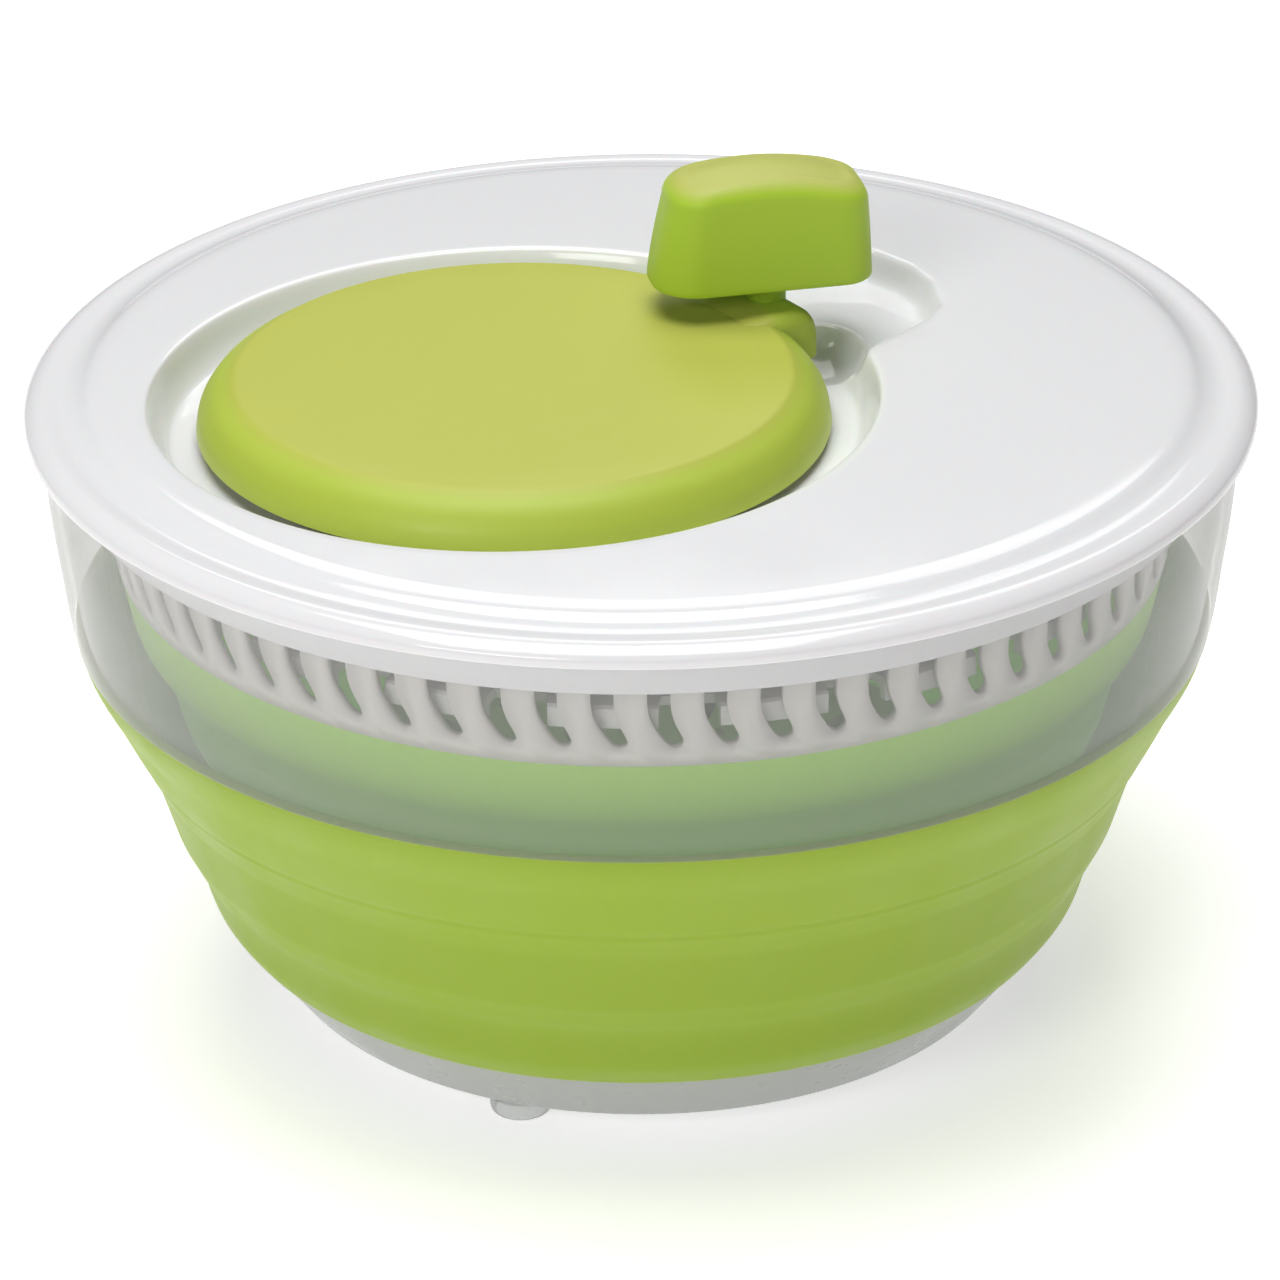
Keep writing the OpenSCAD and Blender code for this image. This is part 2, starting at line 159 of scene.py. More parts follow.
def tidy(ob):
    """Turns all normals outwards."""
    bm = bmesh.new()
    bm.from_mesh(ob.data)
    bmesh.ops.recalc_face_normals(bm, faces=bm.faces)
    bm.to_mesh(ob.data)
    bm.free()


def curve_pts(pts, n):
    """Catmull-Rom curve through points, n steps a span."""
    p = [pts[0]] + list(pts) + [pts[-1]]
    out = []
    for i in range(1, len(p) - 2):
        for k in range(n):
            t = k/n
            out.append(tuple(0.5*(2*p[i][j] + (p[i + 1][j] - p[i - 1][j])*t
                       + (2*p[i - 1][j] - 5*p[i][j] + 4*p[i + 1][j] - p[i + 2][j])*t*t
                       + (3*p[i][j] - p[i - 1][j] - 3*p[i + 1][j] + p[i + 2][j])*t**3) for j in range(2)))
    return out + [tuple(pts[-1][:2])]


# ---------------------------------------------------------------- materials
class Mat:
    """A Principled material with a few procedural layers."""
    def __init__(self, name, color, rough, **kw):
        self.m = bpy.data.materials.new(name)
        self.m.use_nodes = True
        self.t = self.m.node_tree
        self.p = self.t.nodes["Principled BSDF"]
        self.p.inputs["Base Color"].default_value = (*color, 1)
        self.p.inputs["Roughness"].default_value = rough
        for k, v in kw.items():
            self.p.inputs[k.replace("_", " ")].default_value = v
        self.c = self.n("ShaderNodeTexCoord").outputs["Object"]
        self.rough = rough

    def n(self, kind, **kw):
        node = self.t.nodes.new(kind)
        for k, v in kw.items():
            setattr(node, k, v)
        return node

    def noise(self, scale, detail=4, rough=0.5, stretch=(1, 1, 1)):
        mp = self.n("ShaderNodeMapping")
        mp.inputs["Scale"].default_value = stretch
        self.t.links.new(self.c, mp.inputs["Vector"])
        nz = self.n("ShaderNodeTexNoise")
        nz.inputs["Scale"].default_value = scale
        nz.inputs["Detail"].default_value = detail
        nz.inputs["Roughness"].default_value = rough
        self.t.links.new(mp.outputs["Vector"], nz.inputs["Vector"])
        return nz.outputs["Fac"]

    def span(self, fac, lo, hi, a=0.35, b=0.65):
        """Goes from lo to hi as fac goes from a to b."""
        mr = self.n("ShaderNodeMapRange")
        mr.inputs["From Min"].default_value, mr.inputs["From Max"].default_value = a, b
        mr.inputs["To Min"].default_value, mr.inputs["To Max"].default_value = lo, hi
        self.t.links.new(fac, mr.inputs["Value"])
        return mr.outputs["Result"]

    def tint(self, fac, amount, other, a=0.15, b=0.85):
        """Base colour drifts towards another by up to amount, as fac goes from a to b."""
        mx = self.n("ShaderNodeMix", data_type="RGBA")
        src = self.p.inputs["Base Color"]
        if src.is_linked:
            self.t.links.new(src.links[0].from_socket, mx.inputs["A"])
        else:
            mx.inputs["A"].default_value = src.default_value
        mx.inputs["B"].default_value = (*other, 1)
        self.t.links.new(self.span(fac, 0, amount, a, b), mx.inputs["Factor"])
        self.t.links.new(mx.outputs["Result"], src)

    def roughen(self, fac, amount):
        wanders = self.span(fac, max(0, self.rough - amount), min(1, self.rough + amount))
        self.t.links.new(wanders, self.p.inputs["Roughness"])

    def bump(self, fac, depth_mm, strength=1.0):
        b = self.n("ShaderNodeBump")
        b.inputs["Distance"].default_value = depth_mm/1000
        b.inputs["Strength"].default_value = strength
        self.t.links.new(fac, b.inputs["Height"])
        src = self.p.inputs["Normal"]
        if src.is_linked:
            self.t.links.new(src.links[0].from_socket, b.inputs["Normal"])
        self.t.links.new(b.outputs["Normal"], src)


def white_plastic():
    k = Mat("white_gloss_plastic", (0.785, 0.785, 0.797), 0.10, Specular_IOR_Level=0.5)
    k.p.inputs["Subsurface Weight"].default_value = 0.12
    k.p.inputs["Subsurface Scale"].default_value = 0.004
    k.tint(k.noise(14, 3), 0.5, (0.77, 0.775, 0.79))
    k.roughen(k.noise(40, 4), 0.03)
    k.bump(k.noise(60, 3), 0.03, 0.25)
    k.bump(k.noise(900, 2), 0.004, 0.3)
    return k.m


def lime_plastic(name, color, rough, painted_sheen):
    """The tops are painted paler, as a painted sheen, and the sides a purer, darker green, as painted shade.
    The last argument says where one turns into the other.
    """
    k = Mat(name, color, rough, Specular_IOR_Level=0.3)
    k.p.inputs["Subsurface Weight"].default_value = 0.10
    k.p.inputs["Subsurface Scale"].default_value = 0.003
    k.p.inputs["Subsurface Radius"].default_value = (1.0, 1.0, 0.25)
    k.tint(k.noise(18, 4), 0.35, tuple(min(1, c*1.06) for c in color))
    kind, lo, hi, other = painted_sheen
    if kind == "radius":
        away = k.n("ShaderNodeVectorMath", operation="MULTIPLY_ADD")
        k.t.links.new(k.c, away.inputs[0])
        away.inputs[1].default_value = (1, 1, 0)
        away.inputs[2].default_value = (-AX.x/1000, -AX.y/1000, 0)
        size = k.n("ShaderNodeVectorMath", operation="LENGTH")
        k.t.links.new(away.outputs["Vector"], size.inputs[0])
        fac = size.outputs["Value"]
    else:
        parts = k.n("ShaderNodeSeparateXYZ")
        k.t.links.new(k.n("ShaderNodeNewGeometry").outputs["Normal"], parts.inputs["Vector"])
        fac = parts.outputs["Z"]
    # painted sheen and shade: past the given radius from the axle, or on faces turned upwards, the colour
    # turns to the other one
    k.tint(fac, 1.0, other, lo, hi)
    k.roughen(k.noise(70, 4), 0.04)
    k.bump(k.noise(1400, 3, 0.6), 0.012, 0.5)
    k.bump(k.noise(90, 2), 0.02, 0.2)
    return k.m


def silicone(name, color, rough, painted_glow=0.0):
    k = Mat(name, color, rough, Specular_IOR_Level=0.4)
    k.p.inputs["Subsurface Weight"].default_value = 0.35
    k.p.inputs["Subsurface Scale"].default_value = 0.006
    k.p.inputs["Subsurface Radius"].default_value = (0.8, 1.0, 0.15)
    k.tint(k.noise(11, 5, 0.6), 0.4, tuple(c*0.93 for c in color))
    k.roughen(k.noise(55, 4), 0.06)
    k.bump(k.noise(30, 3, 0.5, (1, 1, 3)), 0.10, 0.35)
    k.bump(k.noise(700, 3, 0.6), 0.015, 0.5)
    if painted_glow:                                                  # painted light: the wall glows green to stand for daylight coming through it
        through = (0.34, 1.0, 0.04, 1)
        k.p.inputs["Emission Color"].default_value = through
        k.p.inputs["Emission Strength"].default_value = painted_glow
    return k.m


def frosted(name, color, alpha, rough, thin=False):
    """Milky plastic. A thin wall hides more the more steeply it is looked through."""
    k = Mat(name, color, rough, Specular_IOR_Level=0.5)
    k.p.inputs["Alpha"].default_value = alpha
    if thin:
        facing = k.n("ShaderNodeLayerWeight")
        facing.inputs["Blend"].default_value = 0.5
        v = facing.outputs["Facing"]
        # 1 - (1 - alpha)**(1/cos), with None where the running value goes
        steps = (("SUBTRACT", 1.0, None), ("MAXIMUM", None, 0.1), ("DIVIDE", 1.0, None),
                 ("POWER", 1 - alpha, None), ("SUBTRACT", 1.0, None))
        for op, *terms in steps:
            m = k.n("ShaderNodeMath", operation=op)
            for i, x in enumerate(terms):
                if x is None:
                    k.t.links.new(v, m.inputs[i])
                else:
                    m.inputs[i].default_value = x
            v = m.outputs["Value"]
        k.t.links.new(v, k.p.inputs["Alpha"])
    k.tint(k.noise(20, 4), 0.4, tuple(c*0.97 for c in color))
    k.roughen(k.noise(50, 4), 0.05)
    k.bump(k.noise(500, 3), 0.01, 0.4)
    return k.m


def metal():
    k = Mat("plated_steel", (0.62, 0.62, 0.63), 0.3, Metallic=1.0)
    k.roughen(k.noise(400, 4, 0.6, (1, 1, 6)), 0.08)
    k.bump(k.noise(900, 3), 0.01, 0.4)
    return k.m


def satin(name, color, rough):
    k = Mat(name, color, rough, Specular_IOR_Level=0.5)
    k.p.inputs["Subsurface Weight"].default_value = 0.08
    k.p.inputs["Subsurface Scale"].default_value = 0.003
    k.tint(k.noise(25, 4), 0.4, tuple(c*0.96 for c in color))
    k.roughen(k.noise(60, 4), 0.05)
    k.bump(k.noise(800, 3), 0.01, 0.4)
    return k.m


WHITE = white_plastic()
# the last entries paint light: the disc turns a darker, purer green on its sides past 58 to 61 mm from the
# axle (painted shade), and the knob turns paler where its faces look upwards (painted sheen)
LIME = lime_plastic("lime_soft_plastic", (0.475, 0.505, 0.09), 0.44,
                    ("radius", 0.0582, 0.0612, (0.455, 0.565, 0.072)))
LIMEK = lime_plastic("lime_knob_plastic", (0.42, 0.60, 0.045), 0.46, ("up", 0.45, 0.92, (0.47, 0.50, 0.12)))
SIL = silicone("lime_silicone", (0.285, 0.405, 0.02), 0.47)
# the basket silicone is given a painted glow of 0.11, standing for daylight through its wall
SILB = silicone("basket_silicone", (0.27, 0.45, 0.03), 0.5, 0.11)
FROST = frosted("frosted_rim", (0.65, 0.635, 0.63), 0.13, 0.34, True)
BASEM = satin("frosted_base", (0.395, 0.405, 0.39), 0.30)
FOOT = frosted("foot_rubber", (0.50, 0.51, 0.49), 0.62, 0.25)
STEEL = metal()
BAND = satin("basket_warm_white", (0.68, 0.655, 0.625), 0.4)
GEAR = satin("gear_natural", (0.80, 0.79, 0.76), 0.4)


# ---------------------------------------------------------------- lid
def deck(r):
    """Height of the domed deck at a distance from the lid's middle."""
    return DECK + CROWN - 1.286e-4*r*r


KU = np.array([math.cos(KDIR), math.sin(KDIR)])                      # from the axle towards the knob
KV = np.array([-KU[1], KU[0]])                                       # across that


def smooth_min(a, b, k):
    """The lower of a and b, rounded over a width k where they cross."""
    h = np.clip(k - np.abs(a - b), 0, None)/k
    return np.minimum(a, b) - h*h*k/4


def poly_sdf(p, poly):
    """Signed distance of points p (n, 2) to a polygon, negative inside."""
    d = np.full(len(p), 1e9)
    sign = np.ones(len(p))
    n = len(poly)
    for i in range(n):
        a, b = np.array(poly[i]), np.array(poly[i - 1])
        e, w = b - a, p - a
        t = np.clip((w @ e)/(e @ e), 0, 1)
        q = w - np.outer(t, e)
        d = np.minimum(d, (q**2).sum(1))
        c1, c2, c3 = p[:, 1] >= a[1], p[:, 1] < b[1], e[0]*w[:, 1] > e[1]*w[:, 0]
        flip = (c1 & c2 & c3) | (~c1 & ~c2 & ~c3)
        sign = np.where(flip, -sign, sign)
    return sign*np.sqrt(d)


SCOOP_AT, SCOOP_TO = np.array([70.3, -12.3]), np.array([0.55, 0.835])  # middle and direction of the scoop
SCOOP_R, SCOOP_UP, SCOOP_LONG = 12.5, 9.6, 1.75                      # radius, centre over FLOOR, stretch
POCKET_ROUND, BLEND, SCOOP_BLEND = 3.2, 3.0, 0.5                     # rounding widths
GROW = 2.0                                                           # the recess is this much wider below
# pocket outline in (along, across) from the axle towards the knob, before its corners are rounded
POCKET = [(45, -30.5), (66, -24.3), (92, -16.6), (98, -12.5), (103.3, -2), (104.6, 6), (103.2, 16), (96, 22),
          (78, 26), (45, 27)]
# wall below the edge: distance inside the outline against depth, for the outline that recess and pocket
# share, and then for the recess alone
EDGE = np.array([(-6, 0), (-2.4, 0), (-1.2, 0.05), (-0.4, 0.17), (0, 0.34), (0.3, 0.72), (0.7, 1.5),
                 (1.6, 3.9), (2.2, 5.25), (2.8, 6.05), (3.6, 6.48), (4.8, 6.6), (6, 6.6), (60, 6.6)])
STEP = np.array([(-6, 0), (1.0, 0), (2.0, 0.12), (2.8, 0.6), (3.8, 1.65), (4.6, 2.2), (5.6, 2.38), (6.8, 2.4),
                 (60, 2.4)])


def curve_1d(table):
    """A smooth monotone curve through a table of (x, y)."""
    x, y = table[:, 0], table[:, 1]
    h, d = np.diff(x), np.diff(y)/np.diff(x)
    both, total = d[:-1]*d[1:], d[:-1] + d[1:]
    m = np.concatenate([[0], np.where(both > 0, 2*d[:-1]*d[1:]/np.where(total == 0, 1, total), 0), [0]])

    def at(v):
        v = np.clip(v, x[0], x[-1])
        k = np.clip(np.searchsorted(x, v) - 1, 0, len(h) - 1)
        t = (v - x[k])/h[k]
        return ((2*t**3 - 3*t*t + 1)*y[k] + (t**3 - 2*t*t + t)*h[k]*m[k] + (3*t*t - 2*t**3)*y[k + 1]
                + (t**3 - t*t)*h[k]*m[k + 1])
    return at


edge_at, step_at = curve_1d(EDGE), curve_1d(STEP)


def lid_height(p, grow=0.0):
    """Deck, recess, pocket and scoop as one height over points p (n, 2) in lid coordinates."""
    q = p - np.array([AX.x, AX.y])
    loc = np.stack([q @ KU, q @ KV], 1)
    z = deck(np.hypot(p[:, 0], p[:, 1]))
    recess = np.hypot(q[:, 0], q[:, 1]) - REC_R - grow
    pocket = poly_sdf(loc, POCKET) - POCKET_ROUND - grow
    z = z - edge_at(-smooth_min(recess, pocket, BLEND)) - step_at(-recess)
    # scoop below the lug: round towards the recess, running out long towards the pocket
    w = loc - SCOOP_AT
    along = w @ SCOOP_TO
    side = w - np.outer(along, SCOOP_TO)
    rho = np.hypot(np.hypot(side[:, 0], side[:, 1]), np.where(along > 0, along/SCOOP_LONG, along))
    r = SCOOP_R + grow
    dish = FLOOR + SCOOP_UP - np.sqrt(np.maximum(0.01, r*r - rho*rho))
    return np.where(rho < r - 0.3, smooth_min(z, dish, SCOOP_BLEND), z)


def lid():
    """One closed skin: recess and deck outwards, round the rim, and back underneath."""
    n = 900
    ang = np.arange(n)*2*math.pi/n
    e = np.stack([np.cos(ang), np.sin(ang)], 1)
    c = np.array([AX.x, AX.y])
    hub, edge, shoulder = 7.0, 79, 112                        # two radii about the axle, one about the lid
    radii = [*np.linspace(hub, 54, 10), *np.linspace(56, 70, 22), *np.linspace(70.4, 75.8, 16),
             76.2, 76.5, 76.7, 76.9, 77.1, 77.4, 77.8, 78.3, edge]
    rows = [c + r*e for r in radii]
    rows += [(1 - u)*(c + edge*e) + u*(shoulder*e) for u in np.linspace(0, 1, 110)[1:]]
    skin = [np.column_stack([p, lid_height(p)]) for p in rows]
    # shoulder, shallow groove, bead and lip, then the skirt
    rim = curve_pts([(shoulder, deck(shoulder)), (114.2, deck(114.2) - 0.12), (116.3, RIM + 4.55),
                     (118.6, RIM + 3.55), (120.8, RIM + 2.95), (122.6, RIM + 2.82), (124.4, RIM + 2.98),
                     (126.2, RIM + 3.0), (127.8, RIM + 2.5), (129.0, RIM + 1.75), (LR - 0.25, RIM + 1.0),
                     (LR, RIM + 0.3)], 4)
    rim += soften([(LR, RIM + 0.2), (LR, RIM - 1.25, 0.45), (122.2, RIM - 1.25, 0.3),
                   (121.6, RIM - 10.8, 0.5), (119.9, RIM - 10.8, 0.5), (119.7, RIM + 0.9, 0.8),
                   (116.5, RIM + 2.4)], closed=False, steps=4)[1:]
    skin += [np.column_stack([r*e, np.full(n, z)]) for r, z in rim[1:]]
    under = [(1 - u)*(c + 82*e) + u*(110*e) for u in np.linspace(1, 0, 60)]
    under += [c + r*e for r in [*np.linspace(81, 70, 14), *np.linspace(68, 10, 8)]]
    skin += [np.column_stack([p, lid_height(p, GROW) - LID_T]) for p in under]
    skin.append(np.column_stack([c + hub*e, np.full(n, FLOOR - LID_T)]))
    verts = [tuple(v) for row in skin for v in row]
    faces = []
    for i in range(len(skin)):
        a, b = i*n, ((i + 1) % len(skin))*n
        faces += [(a + k, a + (k + 1) % n, b + (k + 1) % n, b + k) for k in range(n)]
    tidy(add("lid_top", verts, faces, WHITE, "lid", "lid_shell", sharp=48))


lid()
boss = [(4.06, FLOOR - LID_T), (7.2, FLOOR - LID_T), (7.2, FLOOR + 6.4, 0.5), (4.06, FLOOR + 6.4)]
revolve("lid_boss", soften(boss), WHITE, "lid", n=64, centre=(AX.x, AX.y), sharp=40)

# ---------------------------------------------------------------- crank disc and the lug below the knob
R = 66.5                                                             # disc radius
disc = [(0, DT), (30, DT - 0.02), (52, DT - 0.1, 40), (58.4, DT - 0.3, 3.2), (63.3, DT - 3.3, 12),
        (66.0, DT - 7.4, 9), (R, DT - 11.1), (R, DT - 11.2, 0.25), (R - 2.2, DT - 11.3, 0.3),
        (R - 2.6, DT - 5.8, 2), (R - 8, DT - 2.5, 2), (10, DT - 2.4), (9, DT - 6), (0, DT - 6)]
revolve("crank_disc_top", soften(disc, steps=8), LIME, "crank", "crank_disc", n=300,
        centre=(AX.x, AX.y), sharp=40)


def lug():
    """Rounded block on the disc's edge, with a ramp up to it from the middle of the disc."""
    half, low, top = 12.0, DT - 10.4, DT + 0.9                # half width, underside, top
    nose, nose_r, edge_r, segs = 70.2, 5.0, 3.2, 6            # outer end and its rounding, side rounding
    rows = [(48.0, DT - 0.9, half - 1), (52, DT - 0.3, half - 0.5), (55.5, DT + 0.4, half), (59, top, half),
            (nose - nose_r, top, half)]
    for k in range(1, 9):
        a = math.pi/2*k/8
        drop = 1 - math.cos(a)
        rows.append((nose - nose_r + nose_r*math.sin(a), top - nose_r*drop, half - 1.6*drop**1.5))
    verts = []
    for x, z, h in rows:
        side = [(-h, low)]
        for k in range(segs + 1):
            a = math.pi/2*k/segs
            side.append((edge_r - h - edge_r*math.cos(a), z - edge_r + edge_r*math.sin(a)))
        verts += [(x, y, up) for y, up in side + [(-y, up) for y, up in reversed(side)]]
    n = 2*(segs + 2)
    faces = [(i + k, i + (k + 1) % n, i + n + (k + 1) % n, i + n + k)
             for i in range(0, len(verts) - n, n) for k in range(n)]
    faces += [tuple(range(len(verts) - n, len(verts))), tuple(reversed(range(n)))]
    place = Matrix.Translation((AX.x, AX.y, 0)) @ Matrix.Rotation(KDIR, 4, "Z")
    verts = [tuple(place @ Vector(v)) for v in verts]
    tidy(add("crank_lug", verts, faces, LIME, "crank", sharp=35))


lug()


# ---------------------------------------------------------------- knob and post
def knob():
    """Rounded-rectangle plan with a broad left end, drafted sides, and a crown rounded into them."""
    l, w, height, rounding = 23.7, 11.5, 25.5, 4.8            # half length, half width
    right, broad, drafted = 6.6, 9.6, 21.0                    # corner radii, height where the lean is given
    low = 1.6                                                 # end of the rounding at the underside
    corners = ((l - right, w - right, right, 0), (broad - l, w - broad, broad, 90),
               (broad - l, broad - w, broad, 180), (l - right, right - w, right, 270))
    plan = []
    for cx, cy, r, start in corners:
        turns = [math.radians(start + 90*k/16) for k in range(17)]
        plan += [(cx + r*math.cos(a), cy + r*math.sin(a)) for a in turns]
    out = []
    for k, p in enumerate(plan):                              # even out the long straight runs
        q = plan[(k + 1) % len(plan)]
        m = max(1, round(math.dist(p, q)/1.6))
        out += [(p[0] + (q[0] - p[0])*t/m, p[1] + (q[1] - p[1])*t/m) for t in range(m)]
    plan, n = np.array(out), len(out)
    left = np.clip(0.5 - plan[:, 0]/(2*l), 0, 1)              # 1 at the left end, 0 at the right

    def wall(z, inset=0.0):
        """Plan at height z: the left end leans in most, the right end least."""
        t = np.clip(z/drafted, 0, 1.3)
        lean = (1.0 + 2.9*left)*t**1.35
        x = plan[:, 0]*(l - inset)/l - np.sign(plan[:, 0])*lean*np.abs(plan[:, 0])/l
        y = plan[:, 1]*(w - inset - 1.25*t**1.5)/w
        return np.stack([x, y], 1)

    def crown(p):
        """Height of the domed top, a little higher at the left end."""
        return height - 0.022*p[:, 0] - 0.0090*p[:, 0]**2 - 0.024*p[:, 1]**2

    rows = [np.column_stack([wall(z, inset), np.full(n, z)])
            for z, inset in ((0.0, 0.95), (0.12, 0.5), (0.4, 0.2), (0.9, 0.03), (low, 0))]
    base = crown(wall(drafted, rounding))
    for t in np.linspace(0, 1, 12)[1:]:
        z = low + t*(base - rounding - low)
        rows.append(np.column_stack([wall(z), z]))
    for k in range(1, 11):
        a = math.pi/2*k/10
        z = base - rounding*(1 - math.sin(a))
        rows.append(np.column_stack([wall(base - rounding, rounding*(1 - math.cos(a))), z]))
    last = rows[-1][:, :2]
    rows += [np.column_stack([last*sc, crown(last*sc)]) for sc in (0.93, 0.84, 0.72, 0.58, 0.42, 0.26, 0.12)]
    verts = [tuple(v) for row in rows for v in row]
    idx = [list(range(i*n, (i + 1)*n)) for i in range(len(rows))]
    faces = [(a[k], a[(k + 1) % n], b[(k + 1) % n], b[k]) for a, b in zip(idx, idx[1:]) for k in range(n)]
    top = len(verts)
    verts.append((0, 0, height))
    faces += [(idx[-1][k], idx[-1][(k + 1) % n], top) for k in range(n)]
    # hollow underside with the socket for the post
    hole_r, hole_z, roof = 4.6, 17.4, 3.0
    ang = np.arctan2(plan[:, 1], plan[:, 0])
    circle = np.stack([hole_r*np.cos(ang), hole_r*np.sin(ang)], 1)
    chain = [idx[0]]
    for p, z in ((wall(0, 2.2)*[1, 0.97], 0.0), (wall(0, 2.6), 0.7), (wall(0, 2.7), roof), (circle, roof),
                 (circle, hole_z)):
        chain.append(list(range(len(verts), len(verts) + n)))
        verts += [(q[0], q[1], z) for q in p]
    faces += [(a[(k + 1) % n], a[k], b[k], b[(k + 1) % n])
              for a, b in zip(chain, chain[1:]) for k in range(n)]
    pole = len(verts)
    verts.append((0, 0, hole_z))
    faces += [(chain[-1][(k + 1) % n], chain[-1][k], pole) for k in range(n)]
    # the knob sits a little low and to the side, and its socket stays on the post's axis
    turn = Matrix.Rotation(KYAW, 4, "Z")
    place = Matrix.Translation((PO.x, PO.y, ZK - KDROP)) @ turn @ Matrix.Translation((-KSHIFT, 0, 0))
    back = Matrix.Translation((KSHIFT, 0, KDROP))
    socket = set(chain[-1] + chain[-2] + [pole])
    verts = [tuple(place @ (back @ Vector(v) if i in socket else Vector(v))) for i, v in enumerate(verts)]
    tidy(add("crank_knob", verts, faces, LIMEK, "knob_grip", "knob", sharp=50))


knob()
NECK = ZK + 16.6                                                     # top of the post
post = [(0, DT - 8), (4.1, DT - 8), (4.1, DT - 0.4, 0.6), (4.25, DT + 0.4, 0.6), (4.25, NECK, 0.6), (0, NECK)]
revolve("post_neck", soften(post), LIMEK, "crank", "knob_post", n=64, centre=(PO.x, PO.y),
        sharp=40)

# ---------------------------------------------------------------- bowl: rim ring, silicone wall, base, feet
Z0, Z1 = RING0.z, RING1.z
outer = curve_pts([(121.6, Z0), (122.7, Z0 + 6), (123.7, Z0 + 14), (125.2, Z0 + 26), (126.0, Z0 + 35),
                   (126.75, Z1 - 0.6)], 6)
lip = soften([(126.8, Z1 - 0.3), (126.5, Z1, 0.2), (124.7, Z1, 0.3), (124.4, Z1 - 0.5)], closed=False)[1:]
ring = outer + lip + [(r - RING_T, z) for r, z in reversed(outer[:-1])]
revolve("rim_wall", ring, FROST, "bowl_rim", "rim_ring", n=320, sharp=50)

# three flared steps from the rim down to the base
wall_pts = [(121.3, 87.9), (121.1, 86.6), (120.3, 84), (118.8, 80.8), (117.2, 77.9), (116.4, 76.4),
            (113.9, 71.2), (111.6, 66.6), (110.6, 65.0), (110.2, 63.8), (109.4, 62.4), (108.3, 60.2),
            (107.3, 58.2), (106.7, 56.4), (105.3, 52), (103.6, 46.4), (102.7, 43.6), (101.7, 41.6),
            (100.2, 38.6), (99.3, 37.1), (98.4, 35.2), (97.2, 31.6), (96.3, 28.4), (95.2, 25.4),
            (93.7, 23.0), (91.7, 20.35)]
outer = curve_pts(wall_pts, 5)
inner = [(r - WALL_T, z) for r, z in outer if z > 24]
skin = outer + [(88.7, 20.35), (88.7, 23.9)] + list(reversed(inner))
bowl_wall = revolve("bowl_silicone", skin, SIL, "bowl_base", "bowl_wall", n=320, sharp=60)

bz = BASE0.z
base = soften([(0, bz), (70, bz), (76.2, bz, 5), (80.2, bz + 2.2, 3.2), (91.0, 20.3, 0.2),
               (88.6, 20.3, 0.2), (88.5, 23.8, 0.4), (86.8, 23.8, 0.4), (86.6, 19.2, 1),
               (79.0, bz + 4.2, 3), (75.4, bz + 2.5, 3), (0, bz + 2.5)], steps=7)
revolve("bowl_base_dish", base, BASEM, "bowl_base", "base_shell", n=320, sharp=50)
foot = soften([(0, 0), (5.3, 0.0), (6.3, 0.25, 0.7), (6.6, 1.4, 0.8), (6.4, bz + 0.01, 0.3), (0, bz + 0.01)])
for node in ("foot_front", "foot_right", "foot_back"):
    lo, hi = box(node)
    revolve("rubber_" + node, foot, FOOT, "bowl_base", node, n=64,
            centre=((lo.x + hi.x)/2, (lo.y + hi.y)/2), sharp=50)


# ---------------------------------------------------------------- basket: slotted band and silicone wall
def band():
    """One cell with its slot, triangulated flat, then repeated round the band and given thickness."""
    slots, first = 64, math.radians(1.46)
    mean, foot_r = 113, 112                                   # radius the cell is drawn at, and of its foot
    b0 = BAND0.z + 1.4
    h = BAND1.z - b0
    pitch = 2*math.pi*mean/slots
    left = [(-2.3, 23.6), (-2.3, 14.8), (-2.0, 11.9), (-1.45, 10.1), (-0.75, 8.6), (0.1, 7.1), (0.95, 5.75),
            (1.75, 4.85)]
    foot = [(2.5, 4.4), (3.4, 4.25), (4.3, 4.5), (4.85, 5.1)]
    right = [(4.95, 5.8), (4.65, 6.9), (4.0, 8.3), (3.35, 9.7), (2.8, 11.4), (2.4, 13.2), (2.3, 14.8),
             (2.3, 23.6)]
    hole = left + foot + right
    mid = sum(p[0] for p in hole)/len(hole)
    x0, x1 = mid - pitch/2, mid + pitch/2
    ys = list(np.linspace(0, h, 15))
    edge = [(x0, y) for y in ys] + [(x, h) for x in np.linspace(x0, x1, 9)[1:-1]]
    edge += [(x1, y) for y in reversed(ys)] + [(x, 0) for x in np.linspace(x1, x0, 9)[1:-1]]
    pts = [Vector(p) for p in edge + hole]
    ne, nh = len(edge), len(hole)
    lines = [(i, (i + 1) % ne) for i in range(ne)] + [(ne + i, ne + (i + 1) % nh) for i in range(nh)]
    loops = [list(range(ne)), list(reversed(range(ne, ne + nh)))]
    cv, _, cf, *_ = delaunay_2d_cdt(pts, lines, loops, 0, 1e-5)
    middles = np.array([sum((cv[i] for i in f), Vector((0, 0)))/len(f) for f in cf])
    keep = [f for f, away in zip(cf, poly_sdf(middles, hole)) if away > -1e-4]
    verts, faces = [], []
    for k in range(slots):
        o = len(verts)
        for v in cv:
            r = foot_r + (BAND1.x - foot_r)*(1 - max(0.0, 1 - v.y/h)**1.6)
            a = -math.pi/2 + first + k*2*math.pi/slots + v.x/mean
            verts.append((r*math.cos(a), r*math.sin(a), b0 + v.y))
        faces += [tuple(o + i for i in f) for f in keep]
    ob = add("basket_slotted_band", verts, faces, BAND, "basket_rim", "basket_band",
             smooth=False)
    bm = bmesh.new()
    bm.from_mesh(ob.data)
    bmesh.ops.remove_doubles(bm, verts=bm.verts, dist=2e-5)
    bmesh.ops.recalc_face_normals(bm, faces=bm.faces)
    bm.to_mesh(ob.data)
    bm.free()
    so = ob.modifiers.new("wall", "SOLIDIFY")
    so.thickness, so.offset = 0.0018, -1
    so.use_even_offset = True
    ob.data.shade_smooth()
    ob.data.set_sharp_from_angle(angle=math.radians(40))


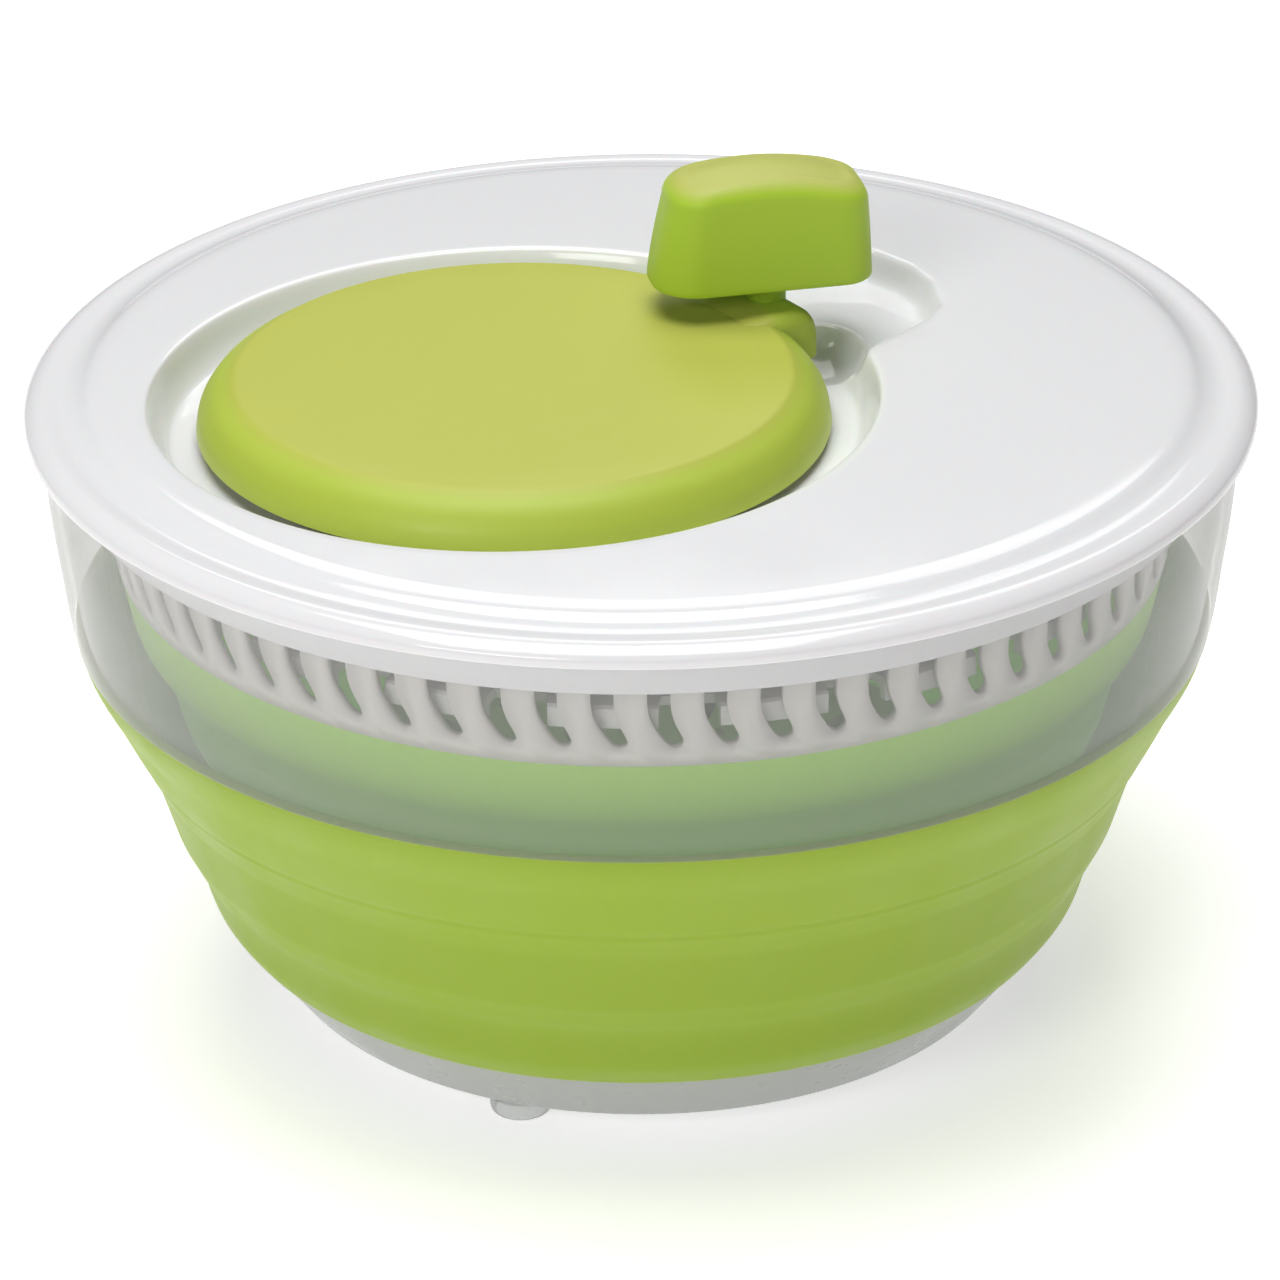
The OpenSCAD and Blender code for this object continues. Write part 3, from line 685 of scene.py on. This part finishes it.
band()
wall_pts = [(111.7, 104.3), (110.6, 98), (109.0, 91), (106.4, 86.4), (103.8, 82), (102.6, 79.6), (101.4, 75),
            (100.2, 70), (98.8, 66.4), (96.0, 61.4), (93.5, 57), (92.3, 54.6), (91.2, 50), (90.2, 45),
            (88.9, 41), (86.6, 37), (84.7, 33.5), (83.3, 31.05)]
outer = curve_pts(wall_pts, 4)
inner = [(r - BASKET_T, z) for r, z in outer if z > 34.6]
skin = outer + [(81.5, 31.05), (81.5, 34.4)] + list(reversed(inner))
basket_wall = revolve("basket_silicone", skin, SILB, "basket_base", "basket_wall", n=256,
                      sharp=60)

# ---------------------------------------------------------------- materials of the parts as CAD has them
for mat, nodes in ((BAND, ("basket_floor",)),
                   (GEAR, ("pivot_cup", "drive_plate", "pinion", "ring_gear", "spindle", "spindle_bush")),
                   (STEEL, ("plate_screw", "plate_washer", "axle_screw", "axle_washer", "hinge_pin",
                            "pivot_pin"))):
    for node in nodes:
        materials = frame["nodes"][node].data.materials
        materials.clear()
        materials.append(mat)


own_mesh(bowl_wall)
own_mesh(basket_wall)

# ---------------------------------------------------------------- stage, light, camera
floor = bpy.data.meshes.new("floor")
S = 6.0                                                              # half the floor's width, in metres
floor.from_pydata([(-S, -S, 0), (S, -S, 0), (S, S, 0), (-S, S, 0)], [], [(0, 1, 2, 3)])
fo = bpy.data.objects.new("floor", floor)
bpy.context.scene.collection.objects.link(fo)
fm = bpy.data.materials.new("pale_floor")
fm.use_nodes = True
fb = fm.node_tree.nodes["Principled BSDF"]
for socket, value in (("Base Color", (0.95, 0.95, 0.95, 1)), ("Roughness", 0.9), ("Specular IOR Level", 0.1),
                      ("Emission Color", (1, 1, 1, 1)), ("Emission Strength", 0.48)):
    fb.inputs[socket].default_value = value
floor.materials.append(fm)

w = bpy.data.worlds.new("studio")
bpy.context.scene.world = w
w.use_nodes = True
w.node_tree.nodes["Background"].inputs["Color"].default_value = (1, 1, 1, 1)
w.node_tree.nodes["Background"].inputs["Strength"].default_value = 0.06


def area(name, loc, aim, size, power):
    """A soft rectangular light at loc that faces aim, in metres and watts."""
    li = bpy.data.lights.new(name, "AREA")
    li.shape = "RECTANGLE"
    li.size, li.size_y = size
    li.energy = power
    ob = bpy.data.objects.new(name, li)
    bpy.context.scene.collection.objects.link(ob)
    ob.location = loc
    ob.rotation_euler = (Vector(aim) - Vector(loc)).to_track_quat("-Z", "Y").to_euler()


area("top_soft", (-0.1, 0.0, 1.7), (0, 0, 0.1), (1.2, 1.2), 25)
area("front_left_soft", (-0.9, -1.7, 1.1), (0, 0, 0.1), (0.9, 0.7), 13)
area("front_soft", (0.0, -2.0, 1.0), (0, 0, 0.08), (1.2, 0.7), 1.2)
area("back_soft", (0.12, 1.582, 1.570), (0, -0.09, 0.141), (1.15, 0.84), 7.0)

bpy.context.scene.view_settings.view_transform = "Standard"

PITCH, ROLL, DIST, LENS = math.radians(26.291), math.radians(-0.5914), 1.33979, 174.877875
cam = bpy.data.cameras.new("camera")
co = bpy.data.objects.new("camera", cam)
bpy.context.scene.collection.objects.link(co)
bpy.context.scene.camera = co
forward = Vector((0, math.cos(PITCH), -math.sin(PITCH)))
aim = Vector((-0.000677, 0, (RIM - 58.82)/1000))
cam.sensor_width = 36
cam.lens = LENS
cam.clip_start, cam.clip_end = 0.05, 30
co.rotation_mode = "QUATERNION"
co.location = aim - forward*DIST
level = forward.to_track_quat("-Z", "Y").to_matrix().to_4x4()
co.rotation_quaternion = (level @ Matrix.Rotation(ROLL, 4, "Z")).to_quaternion()

bpy.context.view_layer.update()
